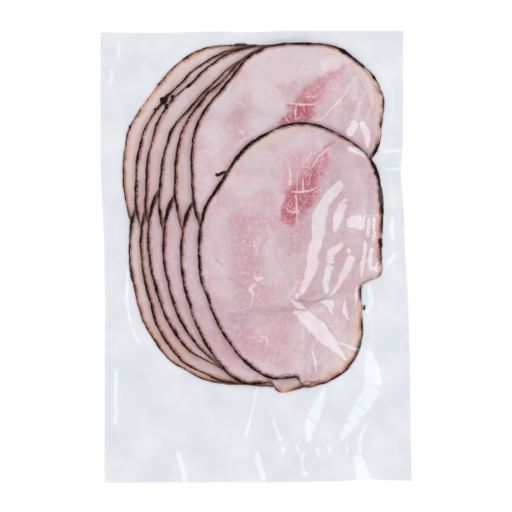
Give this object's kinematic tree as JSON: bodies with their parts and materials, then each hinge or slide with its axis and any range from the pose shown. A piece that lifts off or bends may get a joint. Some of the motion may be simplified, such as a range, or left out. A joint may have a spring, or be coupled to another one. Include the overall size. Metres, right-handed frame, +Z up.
{
  "type": "pack of sliced ham",
  "caption": "Clear vacuum pouch lying flat, drawn tight over two interleaved fans of thin round cooked ham slices with dark smoked rinds, with wide flat welded margins.",
  "frame": {"origin": "on the table, under the middle of the pouch's outline", "axes": "+Z up out of the top film, +Y along the pouch's long side towards the upper fan of slices, +X towards the side where the fans close"},
  "size_m": [0.204, 0.2975, 0.0155],
  "materials": {
    "film": "clear thin glossy film",
    "ham": "moist, fine grained",
    "rind": "dark, smoked, satin"
  },
  "bodies": {
    "root": {"sealed_pouch": "film"}
  },
  "joints": []
}
